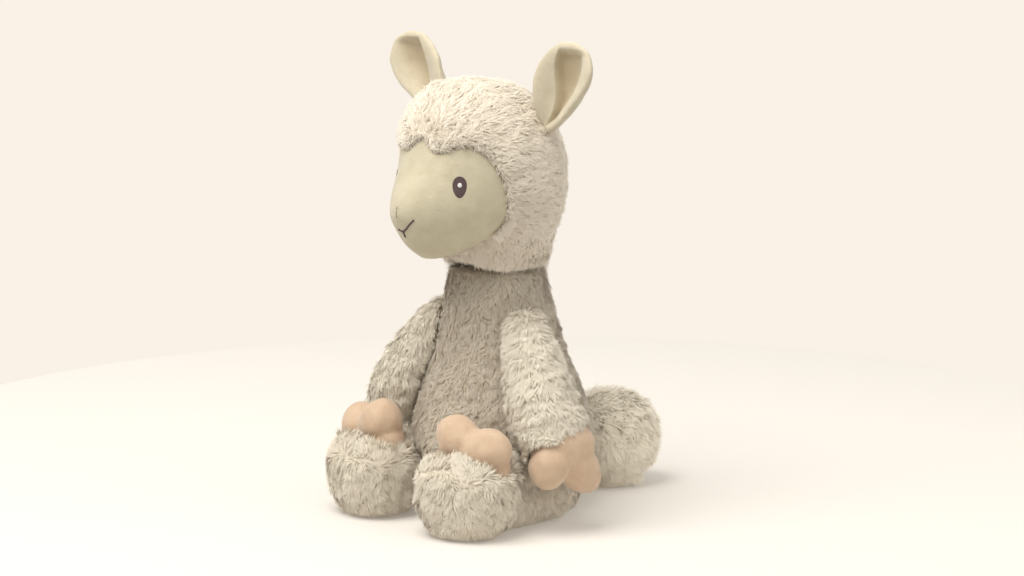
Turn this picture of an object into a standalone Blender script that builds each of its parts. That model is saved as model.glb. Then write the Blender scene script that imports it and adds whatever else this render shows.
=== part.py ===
"""A seated plush llama: stuffed body and neck, fur hood with a velour face, floppy limbs with two-toed hooves."""

import math

import bmesh
import bpy
from mathutils import Matrix, Vector, noise
from mathutils.bvhtree import BVHTree

# All sizes are in metres. +Z is up, the llama looks along -Y, and +X is its left side.
# The origin is the middle of the flat seat, on the floor.

# Clearance between pieces that touch, and how far a soft form presses into the floor before it is made flat
GAP = 0.0003
FLOOR_PRESS = 0.001

# Pile: how far apart the tufts lie, and how far they stand out or sink in
TUFT_SPACING = 0.013
TUFT_DEPTH = 0.0016

# How much closer together the rings of a form lie at its two ends, from 0, evenly spread, to 1
END_CROWDING = 0.35

# Body, one stuffed skin from the seat to the neck seam
SEAT_WIDTH = 0.092
SEAT_LENGTH = 0.100
SEAT_SINK = 0.012
SEAT_NARROWING = 0.7
HIP_HEIGHT = 0.025
HIP_WIDTH = 0.114
HIP_LENGTH = 0.126
BELLY_HEIGHT = 0.055
BELLY_WIDTH = 0.124
BELLY_LENGTH = 0.132
WAIST_HEIGHT = 0.085
WAIST_WIDTH = 0.112
CHEST_HEIGHT = 0.105
CHEST_WIDTH = 0.097
SHOULDER_HEIGHT = 0.125
SHOULDER_WIDTH = 0.085
NECK_WIDTH = 0.066
NECK_LEAN = -0.0075
NECK_LEAN_EASE = 1.5
NECK_TOP = 0.176
NECK_ROUNDING = 0.008

# Head, the fur hood
HOOD_WIDTH = 0.122
HOOD_LENGTH = 0.119
HOOD_RISE = 0.070
HOOD_DROP = 0.066
HOOD_FULLNESS = 2.35
HOOD_LEAN = -0.022
CROWN_LEAN = -0.029
HOOD_HEM_ROUNDING = 0.010
HOOD_OVERLAP = 0.012
HEM_FLARE = 0.004

# The hood's sides below its middle, from the hem up: share of the drop, and share of the way from the hem's
# size to the full size
HOOD_SIDES = ((0, 0), (0.24, 0.20), (0.43, 0.48), (0.68, 0.82), (1, 1), (1.3, 1))

# Face, the velour panel and the stuffing behind it
FACE_RECESS = 0.006
FACE_THICKNESS = 0.016
MUZZLE_REACH = 0.029
MUZZLE_DROP = 0.026
MUZZLE_SPREAD = 0.033
MUZZLE_RISE = 0.030
MUZZLE_FALL = 0.034

# The seam round the face, as turns to the side and up from straight ahead of the head's middle, in degrees.
# It climbs to a point in the middle of the forehead, between two scallops of fur.
FACE_SEAM = ((0, 31), (6, 30), (13, 22), (20, 22.5), (30, 26), (42, 26), (54, 19), (63, 6),
             (67, -8), (68, -20), (63, -31), (50, -40), (26, -46), (0, -47))

# Eyes and mouth, satin stitch on the velour
STITCH_THICKNESS = 0.0008
EYE_WIDTH = 0.0094
EYE_HEIGHT = 0.0142
EYE_NARROWING = 0.18
EYE_TURN = 34
EYE_TILT = -0.5
GLINT_WIDTH = 0.0030
GLINT_HEIGHT = 0.0033
GLINT_RISE = 0.0012
MOUTH_HALF_WIDTH = 0.0120
MOUTH_RISE = 0.0090
MOUTH_CURVE = 1.25
MOUTH_STEM = 0.0048
MOUTH_LINE = 0.0013
MOUTH_TILT = -24.5
NOSE_LINE = 0.0009
NOSE_LENGTH = 0.0075
NOSE_TILT = -13

# Ears, two layers of velour with a little filling, cupped
EAR_LENGTH = 0.0655
EAR_WIDTH = 0.060
EAR_THICKNESS = 0.0062
EAR_ROOT_WIDTH = 0.014
EAR_WIDEST_AT = 0.76
EAR_CURL_ROOT = 88
EAR_CURL_TIP = 45
EAR_BOW = 0.006
EAR_SWEEP = 0.031
EAR_TIP_FORWARD = 0.005
EAR_TURN_ROUND_HEAD = 110
EAR_RISE_ROUND_HEAD = 30
EAR_SUNK = 0.007

# Arms: the line down the middle of the stuffing runs from the shoulder to the wrist
ARM_LENGTH = 0.100
ARM_ROOT_HEIGHT = 0.140
ARM_ROOT_OUT = 0.026
ARM_FORWARD = 0.014
ARM_SPREAD = 0.052
SLEEVE_TOP_WIDTH = 0.032
SLEEVE_MIDDLE_WIDTH = 0.050
SLEEVE_END_WIDTH = 0.038
SLEEVE_END_ROUNDING = 0.017
SLEEVE_FULL_FROM = 0.55
SLEEVE_FULL_TO = 0.75

# The bends of an arm's middle line: share of the way down the sleeve, share of the spread, forward, share of
# the drop
ARM_BENDS = ((0, 0, 0, 0), (0.18, 0.30, 0.005, 0.14), (0.45, 0.68, 0.013, 0.44), (0.75, 0.96, 0.016, 0.76),
             (1, 1, 0.004, 1))
HAND_OUT = 0.010
HAND_FORWARD = 0.008
HAND_RISE = 0.008
HAND_TURN = 70

# Legs and feet: legs lie forward along the floor and the feet stand up at their ends
LEG_WIDTH = 0.053
LEG_SPACING = 0.092
LEG_LENGTH = 0.098
LEG_END_ROUNDING = 0.021
FOOT_WIDTH = 0.066
FOOT_DEPTH = 0.060
FOOT_HEIGHT = 0.058
FOOT_FORWARD = 0.079
FOOT_SPLAY = 12
FOOT_FULLNESS = 2.7

# Hooves, velour, two toes each
HOOF_WIDTH = 0.053
HOOF_HEIGHT = 0.046
HOOF_DEPTH = 0.032
TOE_OVERLAP = 0.004
TOE_FULLNESS = 2.5
TOE_TAPER = 0.10
HOOF_ABOVE_FOOT = 0.021
HOOF_OUT = 0.003
HOOF_BACK = 0.003
HOOF_LEAN = 8
HOOF_ROLL = 7

# Tail, a stuffed fur ball
TAIL_WIDTH = 0.072
TAIL_LENGTH = 0.080
TAIL_REACH = 0.101

BODY_FUR = (0.52, 0.47, 0.38)
HOOD_FUR = (0.75, 0.69, 0.60)
LIMB_FUR = (0.68, 0.63, 0.53)
VELOUR = (0.68, 0.64, 0.47)
HOOF_VELOUR = (0.72, 0.54, 0.38)
DARK_THREAD = (0.045, 0.022, 0.025)
WHITE_THREAD = (0.85, 0.84, 0.82)
NOSE_THREAD = (0.42, 0.36, 0.27)


def clear_scene():
    """Start from an empty file with one collection for the llama and one for the cutters."""
    for thing in list(bpy.data.objects):
        bpy.data.objects.remove(thing, do_unlink=True)
    made = []
    for name in ("plush_llama", "cutters"):
        collection = bpy.data.collections.new(name)
        bpy.context.scene.collection.children.link(collection)
        made.append(collection)
    return made


def material(name, colour, roughness):
    """A plain cloth finish."""
    finish = bpy.data.materials.new(name)
    finish.use_nodes = True
    shader = finish.node_tree.nodes["Principled BSDF"]
    shader.inputs["Base Color"].default_value = (*colour, 1)
    shader.inputs["Roughness"].default_value = roughness
    shader.inputs["Metallic"].default_value = 0
    return finish


def add(name, mesh, collection, finish=None):
    """Put a mesh in the scene as a named object."""
    thing = bpy.data.objects.new(name, mesh)
    collection.objects.link(thing)
    if finish:
        mesh.materials.clear()
        mesh.materials.append(finish)
    if collection is CUTTERS:
        thing.hide_render = True
        thing.display_type = "WIRE"
    return thing


def line_through(stations, place):
    """Read a smooth line through (place, value) stations. A value is a number or a vector."""
    last = len(stations) - 1
    if place <= stations[0][0]:
        return stations[0][1]
    if place >= stations[last][0]:
        return stations[last][1]
    i = max(k for k in range(last) if stations[k][0] <= place)
    (start, low), (end, high) = stations[i], stations[i + 1]

    def slope(k):
        before, after = stations[max(k - 1, 0)], stations[min(k + 1, last)]
        return (after[1] - before[1]) / (after[0] - before[0])

    span = end - start
    t = (place - start) / span
    ease = t * t * (3 - 2 * t)
    lift = slope(i) * (span * t * (1 - t) ** 2) - slope(i + 1) * (span * t * t * (1 - t))
    return low * (1 - ease) + high * ease + lift


def rounded_end(distance, reach):
    """How much of its full width a form has at this distance from its rounded end."""
    if distance >= reach:
        return 1
    return math.sqrt(max(0, 1 - (1 - distance / reach) ** 2))


def ball(segments, rings, place, ruffled=True):
    """A sphere whose points are moved by place(direction), with tufts where it is fur."""
    shape = bmesh.new()
    bmesh.ops.create_uvsphere(shape, u_segments=segments, v_segments=rings, radius=1)
    for point in shape.verts:
        point.co = place(point.co.normalized())
    bmesh.ops.remove_doubles(shape, verts=shape.verts, dist=0.00005)
    bmesh.ops.recalc_face_normals(shape, faces=shape.faces)
    shape.normal_update()
    if ruffled:
        moves = [point.normal * TUFT_DEPTH * tuft(point.co) for point in shape.verts]
        for point, move in zip(shape.verts, moves):
            point.co += move
    bmesh.ops.triangulate(shape, faces=shape.faces)
    return shape


def tuft(point):
    """Pile height at a point, from -1 to 1, alike on the left and the right."""
    return noise.noise(Vector((abs(point.x), point.y, point.z)) / TUFT_SPACING)


def as_mesh(shape, name):
    """Turn a working shape into mesh data."""
    mesh = bpy.data.meshes.new(name)
    shape.to_mesh(mesh)
    shape.free()
    mesh.shade_smooth()
    return mesh


def settle(thing):
    """Apply the modifiers, weld hairline edges and keep the one main body."""
    bpy.context.view_layer.update()
    seen = thing.evaluated_get(bpy.context.evaluated_depsgraph_get())
    shape = bmesh.new()
    shape.from_mesh(seen.to_mesh())
    thing.modifiers.clear()
    bmesh.ops.remove_doubles(shape, verts=shape.verts, dist=0.00002)
    bmesh.ops.dissolve_degenerate(shape, edges=shape.edges, dist=0.00002)
    drop_crumbs(shape)
    bmesh.ops.triangulate(shape, faces=shape.faces)
    shape.to_mesh(thing.data)
    shape.free()
    return thing


def drop_crumbs(shape):
    """Delete all but the largest connected body."""
    left, bodies = set(shape.verts), []
    while left:
        body, edge_of = set(), [left.pop()]
        while edge_of:
            point = edge_of.pop()
            body.add(point)
            near = {edge.other_vert(point) for edge in point.link_edges} & left
            left -= near
            edge_of.extend(near)
        bodies.append(body)
    largest = max(bodies, key=len)
    crumbs = [point for body in bodies if body is not largest for point in body]
    bmesh.ops.delete(shape, geom=crumbs, context="VERTS")


def join(piece, other, operation):
    """Cut, join or meet a piece with another, and apply it."""
    step = piece.modifiers.new(operation.lower(), "BOOLEAN")
    step.operation = operation
    step.solver = "EXACT"
    step.object = other
    return settle(piece)


def copy_of(piece, name, grown=0):
    """A cutter the shape of a piece, grown all round by a clearance."""
    cutter = add(name, piece.data.copy(), CUTTERS)
    if grown:
        clearance = cutter.modifiers.new("clearance", "DISPLACE")
        clearance.strength = grown
        clearance.mid_level = 0
        settle(cutter)
    return cutter


def clear_of(piece, *others):
    """Cut a piece back so that it just touches the others."""
    for other in others:
        join(piece, copy_of(other, other.name + "_clearance", GAP), "DIFFERENCE")
    return piece


def stand_flat(piece):
    """Press the underside flat on the floor."""
    shape = bmesh.new()
    deep = HOOD_LENGTH * 4
    bmesh.ops.create_cube(shape, size=deep, matrix=Matrix.Translation((0, 0, -deep / 2)))
    return join(piece, add(piece.name + "_floor", as_mesh(shape, "floor"), CUTTERS), "DIFFERENCE")


def mirrored(piece, name):
    """The same piece on the other side."""
    mesh = piece.data.copy()
    mesh.transform(Matrix.Scale(-1, 4, (1, 0, 0)))
    mesh.flip_normals()
    return add(name, mesh, LLAMA)


def superellipse(x, y, fullness):
    """Where a ray in the direction x, y meets a rounded square of half-width 1."""
    return (abs(x) ** fullness + abs(y) ** fullness) ** (-1 / fullness)


# Body

def body_point(direction):
    """Pear-shaped body: wide at the belly, narrow at the neck."""
    sizes = ((-SEAT_SINK, SEAT_WIDTH * SEAT_NARROWING, SEAT_LENGTH * SEAT_NARROWING),
             (0, SEAT_WIDTH, SEAT_LENGTH),
             (HIP_HEIGHT, HIP_WIDTH, HIP_LENGTH),
             (BELLY_HEIGHT, BELLY_WIDTH, BELLY_LENGTH),
             (WAIST_HEIGHT, WAIST_WIDTH, WAIST_WIDTH),
             (CHEST_HEIGHT, CHEST_WIDTH, CHEST_WIDTH),
             (SHOULDER_HEIGHT, SHOULDER_WIDTH, SHOULDER_WIDTH),
             (NECK_TOP, NECK_WIDTH, NECK_WIDTH))
    stations = [(level, Vector((width, length, NECK_LEAN * (max(0, level) / NECK_TOP) ** NECK_LEAN_EASE)))
                for level, width, length in sizes]
    turn = math.acos(max(-1, min(1, direction.z))) / math.pi
    height = NECK_TOP - (NECK_TOP + SEAT_SINK) * ease_ends(turn)
    width, length, middle = line_through(stations, height)
    size = rounded_end(NECK_TOP - height, NECK_ROUNDING) * rounded_end(height + SEAT_SINK, SEAT_SINK)
    round_x, round_y = around(direction)
    return Vector((width / 2 * size * round_x, middle + length / 2 * size * round_y, height))


def ease_ends(turn):
    """Spread rings evenly down a form, closer together at its two ends."""
    return END_CROWDING * (1 - math.cos(math.pi * turn)) / 2 + (1 - END_CROWDING) * turn


def around(direction):
    """The direction round the upright axis."""
    across = math.hypot(direction.x, direction.y)
    if across < 0.0001:
        return 1, 0
    return direction.x / across, direction.y / across


# Head

def head_middle():
    """The middle of the hood, level with its widest part."""
    return Vector((0, HOOD_LEAN, NECK_TOP - HOOD_OVERLAP + HOOD_DROP))


def hood_point(direction, inset=0):
    """Egg-shaped hood that flows back and down into the neck, as it is or set in all round."""
    middle = head_middle()
    top = middle.z + HOOD_RISE - inset
    bottom = middle.z - HOOD_DROP
    hem = (NECK_WIDTH + HEM_FLARE, NECK_WIDTH + HEM_FLARE, NECK_LEAN)
    full = (HOOD_WIDTH - 2 * inset, HOOD_LENGTH - 2 * inset, HOOD_LEAN)

    def between(share):
        return Vector([low + (high - low) * share for low, high in zip(hem, full)])

    turn = math.acos(max(-1, min(1, direction.z))) / math.pi
    height = top - (top - bottom) * ease_ends(turn)
    round_x, round_y = around(direction)
    if height >= middle.z:
        up = (height - middle.z) / (top - middle.z)
        size = (1 - up ** HOOD_FULLNESS) ** (1 / HOOD_FULLNESS)
        lean = HOOD_LEAN + (CROWN_LEAN - HOOD_LEAN) * up * up
        return Vector((full[0] / 2 * size * round_x, lean + full[1] / 2 * size * round_y, height))
    stations = [(bottom + HOOD_DROP * rise, between(share)) for rise, share in HOOD_SIDES]
    width, length, lean = line_through(stations, height)
    size = rounded_end(height - bottom, HOOD_HEM_ROUNDING)
    return Vector((width / 2 * size * round_x, lean + length / 2 * size * round_y, height))


def face_point(direction):
    """The velour lies a little under the fur, and the muzzle swells forward from it."""
    point = hood_point(direction, FACE_RECESS)
    if point.y > head_middle().y:
        return point
    across = point.x / MUZZLE_SPREAD
    above = point.z - head_middle().z + MUZZLE_DROP
    away = (above / MUZZLE_RISE) ** 2 if above > 0 else (above / MUZZLE_FALL) ** 4
    point.y -= MUZZLE_REACH * math.exp(-across * across - away)
    return point


def ahead(turn, tilt):
    """A direction from the head's middle: turned to the left and tilted up, in degrees."""
    turn, tilt = math.radians(turn), math.radians(tilt)
    return Vector((math.cos(tilt) * math.sin(turn), -math.cos(tilt) * math.cos(turn), math.sin(tilt)))


def seam_directions(wider):
    """The face seam as directions from the head's middle, wider by an angle all round."""
    half = [(place, Vector(corner)) for place, corner in enumerate(FACE_SEAM)]
    steps = 2 * (len(FACE_SEAM) - 1)
    left = [line_through(half, step / 2) for step in range(steps + 1)]
    loop = left + [Vector((-point.x, point.y)) for point in reversed(left[1:-1])]
    centre = Vector((0, sum(point.y for point in loop) / len(loop)))
    return [ahead(*(point + (point - centre).normalized() * wider)) for point in loop], ahead(*centre)


def face_cone(name, wider):
    """A cone from the head's middle out through the face seam."""
    directions, centre = seam_directions(wider)
    reach = HOOD_LENGTH + MUZZLE_REACH
    shape = bmesh.new()
    tip = shape.verts.new(head_middle())
    far = shape.verts.new(head_middle() + centre * reach)
    rim = [shape.verts.new(head_middle() + direction * reach) for direction in directions]
    for one, two in zip(rim, rim[1:] + rim[:1]):
        shape.faces.new((tip, one, two))
        shape.faces.new((far, two, one))
    bmesh.ops.recalc_face_normals(shape, faces=shape.faces)
    return add(name, as_mesh(shape, name), CUTTERS)


def make_head():
    """The hood with its window, and the face that fills it."""
    core = add("core", as_mesh(ball(20, 14, lambda d: hood_point(d, FACE_THICKNESS), False), "core"), CUTTERS)
    face = add("face", as_mesh(ball(30, 24, face_point, False), "face"), LLAMA, FACE_CLOTH)
    join(face, face_cone("face_cone", 0), "INTERSECT")
    join(face, core, "DIFFERENCE")
    hood = add("head", as_mesh(ball(28, 20, hood_point), "head"), LLAMA, HOOD_CLOTH)
    wider = math.degrees(GAP / (HOOD_WIDTH / 2 - FACE_THICKNESS))
    window = face_cone("window", wider)
    join(window, copy_of(core, "window_floor", -GAP), "DIFFERENCE")
    join(hood, window, "DIFFERENCE")
    return hood, face


# Stitching

def surface_at(piece, turn, tilt):
    """Where a direction from the head's middle leaves a piece, and which way it faces there."""
    tree = BVHTree.FromPolygons([v.co for v in piece.data.vertices], [p.vertices for p in piece.data.polygons])
    reach = HOOD_LENGTH + MUZZLE_REACH
    direction = ahead(turn, tilt)
    place, normal, _, _ = tree.ray_cast(head_middle() + direction * reach, -direction)
    return place, normal


def stamp(name, outline, place, facing, depth):
    """A prism through a place on the face, from an outline of (right, up) points."""
    side = Vector((0, 0, 1)).cross(facing).normalized()
    up = facing.cross(side)
    shape = bmesh.new()
    points = [shape.verts.new(place + side * right + up * rise - facing * depth) for right, rise in outline]
    shape.faces.new(points)
    shape.normal_update()
    pulled = bmesh.ops.extrude_face_region(shape, geom=shape.faces[:])["geom"]
    lifted = [part for part in pulled if isinstance(part, bmesh.types.BMVert)]
    bmesh.ops.translate(shape, verts=lifted, vec=facing * depth * 2)
    bmesh.ops.recalc_face_normals(shape, faces=shape.faces)
    return add(name, as_mesh(shape, name), CUTTERS)


def stitched(name, prism, face, finish):
    """The layer of thread on the face inside a prism."""
    patch = copy_of(prism, name + "_patch")
    join(patch, copy_of(face, name + "_top", GAP + STITCH_THICKNESS), "INTERSECT")
    join(patch, copy_of(face, name + "_under", GAP), "DIFFERENCE")
    return add(name, patch.data.copy(), LLAMA, finish)


def oval(width, height, steps=20, narrowing=0, rise=0):
    """An oval outline, narrower towards its foot."""
    points = []
    for step in range(steps):
        angle = 2 * math.pi * step / steps
        up = math.sin(angle)
        points.append((width / 2 * math.cos(angle) * (1 + narrowing * up), height / 2 * up + rise))
    return points


def ribbon(centres, width):
    """The outline of a line of stitches along some points."""
    sides = []
    for sign in (1, -1):
        side = []
        for i, centre in enumerate(centres):
            ahead_of, behind = centres[min(i + 1, len(centres) - 1)], centres[max(i - 1, 0)]
            run = (ahead_of - behind).normalized()
            side.append(centre + Vector((-run.y, run.x)) * sign * width / 2)
        sides.append(side)
    return sides[0] + sides[1][::-1]


def make_eye(face):
    """A dark oval with a white glint left open in it."""
    place, facing = surface_at(face, EYE_TURN, EYE_TILT)
    eye_prism = stamp("eye_prism", oval(EYE_WIDTH, EYE_HEIGHT, 16, EYE_NARROWING), place, facing, EYE_WIDTH)
    glint_outline = oval(GLINT_WIDTH, GLINT_HEIGHT, 8, 0, GLINT_RISE)
    glint_prism = stamp("glint_prism", glint_outline, place, facing, EYE_WIDTH)
    hole_outline = oval(GLINT_WIDTH + 2 * GAP, GLINT_HEIGHT + 2 * GAP, 8, 0, GLINT_RISE)
    hole = stamp("glint_hole", hole_outline, place, facing, 2 * EYE_WIDTH)
    join(eye_prism, hole, "DIFFERENCE")
    eye = stitched("left_eye", eye_prism, face, DARK)
    glint = stitched("left_eye_highlight", glint_prism, face, WHITE)
    mirrored(eye, "right_eye")
    mirrored(glint, "right_eye_highlight")


def make_mouth(face):
    """A smile that meets in a short stem, and a short seam up the nose."""
    place, _ = surface_at(face, 0, MOUTH_TILT)
    forward = Vector((0, -1, 0))
    steps = 8
    smile = []
    for step in range(-steps // 2, steps // 2 + 1):
        share = 2 * step / steps
        smile.append(Vector((MOUTH_HALF_WIDTH * share, MOUTH_RISE * abs(share) ** MOUTH_CURVE)))
    lips = stamp("lips", ribbon(smile, MOUTH_LINE), place, forward, MUZZLE_REACH / 2)
    stem_points = [Vector((0, MOUTH_LINE / 3)), Vector((0, -MOUTH_STEM))]
    stem = stamp("stem", ribbon(stem_points, MOUTH_LINE), place, forward, MUZZLE_REACH / 2 + GAP)
    join(lips, stem, "UNION")
    stitched("mouth", lips, face, DARK)
    nose_place, _ = surface_at(face, 0, NOSE_TILT)
    nose_points = [Vector((0, NOSE_LENGTH / 2)), Vector((0, -NOSE_LENGTH / 2))]
    nose = stamp("nose_prism", ribbon(nose_points, NOSE_LINE), nose_place, forward, MUZZLE_REACH / 2)
    stitched("nose_stitch", nose, face, NOSE)


# Ears

def make_ear(hood):
    """A leaf of double velour with a plump rim, cupped forward and pinched at its root."""
    shape = bmesh.new()
    bmesh.ops.create_grid(shape, x_segments=7, y_segments=9, size=1)
    for point in shape.verts:
        u, v = point.co.x, point.co.y
        across, along = u * math.sqrt(1 - v * v / 2), v * math.sqrt(1 - u * u / 2)
        share = (along + 1) / 2
        opening = math.sin(math.pi / 2 * min(1, share / EAR_WIDEST_AT))
        width = EAR_ROOT_WIDTH + (EAR_WIDTH - EAR_ROOT_WIDTH) * opening
        curl = math.radians(EAR_CURL_ROOT + (EAR_CURL_TIP - EAR_CURL_ROOT) * share)
        radius = width / 2 / curl
        out = EAR_SWEEP * (1 - (1 - share) ** 2)
        back = EAR_BOW * math.sin(math.pi * share) - EAR_TIP_FORWARD * share
        point.co = Vector((out + radius * math.sin(curl * across), back - radius * (1 - math.cos(curl * across)),
                           EAR_LENGTH * share))
    mesh = as_mesh(shape, "left_ear")
    ear = add("left_ear", mesh, LLAMA, FACE_CLOTH)
    layers = ear.modifiers.new("layers", "SOLIDIFY")
    layers.thickness = EAR_THICKNESS
    layers.offset = 0
    edge = ear.modifiers.new("rounded rim", "BEVEL")
    edge.width = EAR_THICKNESS * 0.3
    edge.segments = 1
    edge.limit_method = "ANGLE"
    settle(ear)
    root_direction = ahead(EAR_TURN_ROUND_HEAD, EAR_RISE_ROUND_HEAD)
    tree = BVHTree.FromPolygons([v.co for v in hood.data.vertices], [p.vertices for p in hood.data.polygons])
    root, _, _, _ = tree.ray_cast(head_middle() + root_direction * HOOD_WIDTH, -root_direction)
    root -= root_direction * EAR_SUNK
    ear.data.transform(Matrix.Translation(root))
    clear_of(ear, hood)
    mirrored(ear, "right_ear")


# Limbs

def limb(segments, rings, path, widths, end_rounding):
    """A stuffed tube along a path, with rounded ends. Path and widths are stations from 0 to 1."""
    length = (path[-1][1] - path[0][1]).length
    reach = end_rounding / length

    def place(direction):
        turn = math.acos(max(-1, min(1, direction.z))) / math.pi
        share = ease_ends(turn)
        here = line_through(path, share)
        run = (line_through(path, min(1, share + 0.02)) - line_through(path, max(0, share - 0.02))).normalized()
        side = run.cross(Vector((0, 1, 0.001))).normalized()
        other = side.cross(run)
        size = line_through(widths, share) / 2 * rounded_end(share, reach) * rounded_end(1 - share, reach)
        round_x, round_y = around(direction)
        return here + side * size * round_x + other * size * round_y

    return ball(segments, rings, place)


def hoof(name, width, height, depth):
    """Two plump toes side by side along X, tips up, joined by a cleft. Its middle is at the origin."""
    toe_width = (width + TOE_OVERLAP) / 2
    toes = []
    for side in (1, -1):
        def place(direction, side=side):
            across = math.hypot(direction.x, direction.z)
            full = superellipse(direction.x / across, direction.z / across, TOE_FULLNESS) if across > 0.001 else 1
            taper = 1 - TOE_TAPER * direction.z
            x = toe_width / 2 * direction.x * full * taper + side * (width - toe_width) / 2
            return Vector((x, depth / 2 * direction.y, height / 2 * direction.z * full))
        shape = ball(12, 8, place, False)
        toes.append(add(f"{name}_toe_{side + 2}", as_mesh(shape, name), CUTTERS))
    join(toes[0], toes[1], "UNION")
    return add(name, toes[0].data.copy(), LLAMA, HOOF_CLOTH)


def make_arm(body, leg):
    """A sleeve of fur that hangs from the shoulder, with a hoof at its end."""
    root = Vector((ARM_ROOT_OUT, -ARM_FORWARD, ARM_ROOT_HEIGHT))
    path = [(share, root + Vector((ARM_SPREAD * out, -forward, -ARM_LENGTH * drop)))
            for share, out, forward, drop in ARM_BENDS]
    widths = ((0, SLEEVE_TOP_WIDTH), (SLEEVE_FULL_FROM / 2, (SLEEVE_TOP_WIDTH + SLEEVE_MIDDLE_WIDTH) / 2),
              (SLEEVE_FULL_FROM, SLEEVE_MIDDLE_WIDTH), (SLEEVE_FULL_TO, SLEEVE_MIDDLE_WIDTH), (1, SLEEVE_END_WIDTH))
    shape = limb(14, 13, path, widths, SLEEVE_END_ROUNDING)
    arm = add("left_arm", as_mesh(shape, "left_arm"), LLAMA, LIMB_CLOTH)
    hand = hoof("left_arm_hoof", HOOF_WIDTH, HOOF_HEIGHT, HOOF_DEPTH)
    tips_down = Matrix.Rotation(math.pi, 4, "Y")
    to_the_side = Matrix.Rotation(math.radians(HAND_TURN), 4, "Z")
    wrist = path[-1][1] + Vector((HAND_OUT, -HAND_FORWARD, HAND_RISE))
    hand.data.transform(Matrix.Translation(wrist) @ to_the_side @ tips_down)
    clear_of(hand, leg)
    clear_of(arm, body, hand, leg)
    mirrored(arm, "right_arm")
    mirrored(hand, "right_arm_hoof")


def make_leg(body):
    """A leg along the floor with its foot standing up, toes on top."""
    out = LEG_SPACING / 2
    level = LEG_WIDTH / 2
    heel = Vector((out, -FOOT_FORWARD, 0))
    hip = heel + Vector((0, LEG_LENGTH, level))
    path = ((0, hip), (1, heel + Vector((0, 0, level))))
    widths = ((0, LEG_WIDTH), (1, LEG_WIDTH))
    leg = add("left_leg", as_mesh(limb(14, 8, path, widths, LEG_END_ROUNDING), "left_leg"), LLAMA, LIMB_CLOTH)

    def foot_point(direction):
        full = superellipse(math.hypot(direction.x, direction.y), direction.z, FOOT_FULLNESS)
        round_x, round_y = around(direction)
        square = superellipse(round_x, round_y, FOOT_FULLNESS)
        across = math.hypot(direction.x, direction.y) * full * square
        return Vector((FOOT_WIDTH / 2 * across * round_x, FOOT_DEPTH / 2 * across * round_y,
                       FOOT_HEIGHT / 2 * direction.z * full))

    foot = add("foot", as_mesh(ball(16, 11, foot_point), "foot"), CUTTERS)
    splay = Matrix.Rotation(math.radians(FOOT_SPLAY), 4, "Z")
    middle = heel + Vector((0, 0, FOOT_HEIGHT / 2 - FLOOR_PRESS))
    foot.data.transform(Matrix.Translation(middle) @ splay)
    join(leg, foot, "UNION")
    toes = hoof("left_leg_hoof", HOOF_WIDTH, HOOF_HEIGHT, HOOF_DEPTH)
    top = FOOT_HEIGHT + HOOF_ABOVE_FOOT
    lean = Matrix.Rotation(math.radians(HOOF_LEAN), 4, "X")
    roll = Matrix.Rotation(math.radians(HOOF_ROLL), 4, "Y")
    toe_middle = heel + Vector((HOOF_OUT, HOOF_BACK, top - HOOF_HEIGHT / 2))
    toes.data.transform(Matrix.Translation(toe_middle) @ splay @ roll @ lean)
    clear_of(leg, body, toes)
    stand_flat(leg)
    mirrored(leg, "right_leg")
    mirrored(toes, "right_leg_hoof")
    return leg


def make_tail(body):
    """A stuffed ball of fur sewn low on the back."""
    middle = Vector((0, TAIL_REACH, TAIL_WIDTH / 2 - FLOOR_PRESS))
    half = Vector((TAIL_WIDTH, TAIL_LENGTH, TAIL_WIDTH)) / 2

    def place(direction):
        return middle + Vector([size * part for size, part in zip(half, direction)])

    tail = add("tail", as_mesh(ball(18, 13, place), "tail"), LLAMA, LIMB_CLOTH)
    clear_of(tail, body)
    stand_flat(tail)


LLAMA, CUTTERS = clear_scene()
BODY_CLOTH = material("body_fur", BODY_FUR, 0.95)
HOOD_CLOTH = material("hood_fur", HOOD_FUR, 0.95)
LIMB_CLOTH = material("limb_fur", LIMB_FUR, 0.95)
FACE_CLOTH = material("velour", VELOUR, 0.9)
HOOF_CLOTH = material("hoof_velour", HOOF_VELOUR, 0.9)
DARK = material("dark_thread", DARK_THREAD, 0.5)
WHITE = material("white_thread", WHITE_THREAD, 0.5)
NOSE = material("nose_thread", NOSE_THREAD, 0.6)

the_body = add("body", as_mesh(ball(26, 21, body_point), "body"), LLAMA, BODY_CLOTH)
stand_flat(the_body)
the_hood, the_face = make_head()
make_eye(the_face)
make_mouth(the_face)
make_ear(the_hood)
clear_of(the_hood, the_body)
the_leg = make_leg(the_body)
make_arm(the_body, the_leg)
make_tail(the_body)
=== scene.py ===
# %% [markdown]
# # A seated plush llama
#
# The real toy is sewn from three cloths: a fluffy fur for the body, hood, limbs and tail, a smooth cream
# velour for the face and ears, and a peach velour for the hooves. The frame gives each stuffed form its
# place and size. This lesson dresses them: first the camera and the light, then the cloths, then one
# piece after another.

# %% Load the frame
import math

import bpy
import numpy as np
from mathutils import Matrix, Vector
from mathutils.bvhtree import BVHTree
from mathutils.kdtree import KDTree


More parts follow.
